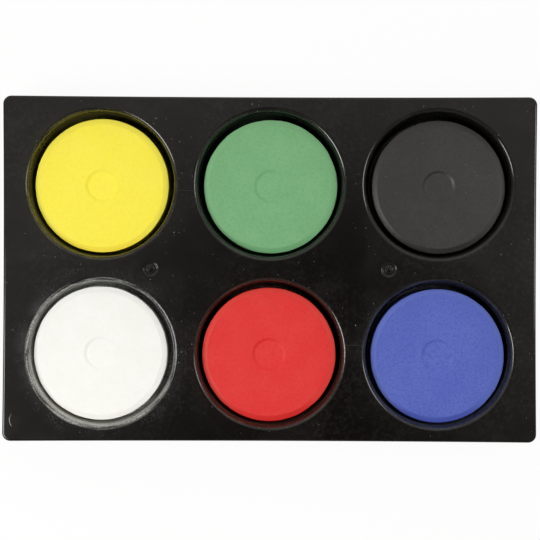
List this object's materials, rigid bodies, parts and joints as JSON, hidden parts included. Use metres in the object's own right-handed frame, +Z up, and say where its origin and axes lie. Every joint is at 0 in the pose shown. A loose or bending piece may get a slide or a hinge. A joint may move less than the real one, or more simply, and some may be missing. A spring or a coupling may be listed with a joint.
{
  "type": "paint palette tray",
  "caption": "Flat rectangular moulded tray with round wells, each holding a loose round bevelled block of dry water paint that lifts straight out.",
  "frame": {"origin": "under the middle of the tray, at the level of the table it stands on", "axes": "+X along the long side, +Y towards the row of yellow, green and black, +Z up out of the wells"},
  "size_m": [0.2298, 0.15, 0.0255],
  "materials": {
    "black_plastic": "gloss",
    "yellow_paint": "matte",
    "green_paint": "matte",
    "black_paint": "matte",
    "white_paint": "matte",
    "red_paint": "matte",
    "blue_paint": "matte"
  },
  "bodies": {
    "tray": {"palette_tray": "black_plastic"},
    "yellow_block": {"paint_block_yellow": "yellow_paint"},
    "green_block": {"paint_block_green": "green_paint"},
    "black_block": {"paint_block_black": "black_paint"},
    "white_block": {"paint_block_white": "white_paint"},
    "red_block": {"paint_block_red": "red_paint"},
    "blue_block": {"paint_block_blue": "blue_paint"}
  },
  "joints": [
    {"name": "yellow_block_lift", "type": "slide", "parent": "tray", "child": "yellow_block", "axis": [0, 0, 1], "range_m": [0, 0.045]},
    {"name": "green_block_lift", "type": "slide", "parent": "tray", "child": "green_block", "axis": [0, 0, 1], "range_m": [0, 0.045]},
    {"name": "black_block_lift", "type": "slide", "parent": "tray", "child": "black_block", "axis": [0, 0, 1], "range_m": [0, 0.045]},
    {"name": "white_block_lift", "type": "slide", "parent": "tray", "child": "white_block", "axis": [0, 0, 1], "range_m": [0, 0.045]},
    {"name": "red_block_lift", "type": "slide", "parent": "tray", "child": "red_block", "axis": [0, 0, 1], "range_m": [0, 0.045]},
    {"name": "blue_block_lift", "type": "slide", "parent": "tray", "child": "blue_block", "axis": [0, 0, 1], "range_m": [0, 0.045]}
  ]
}
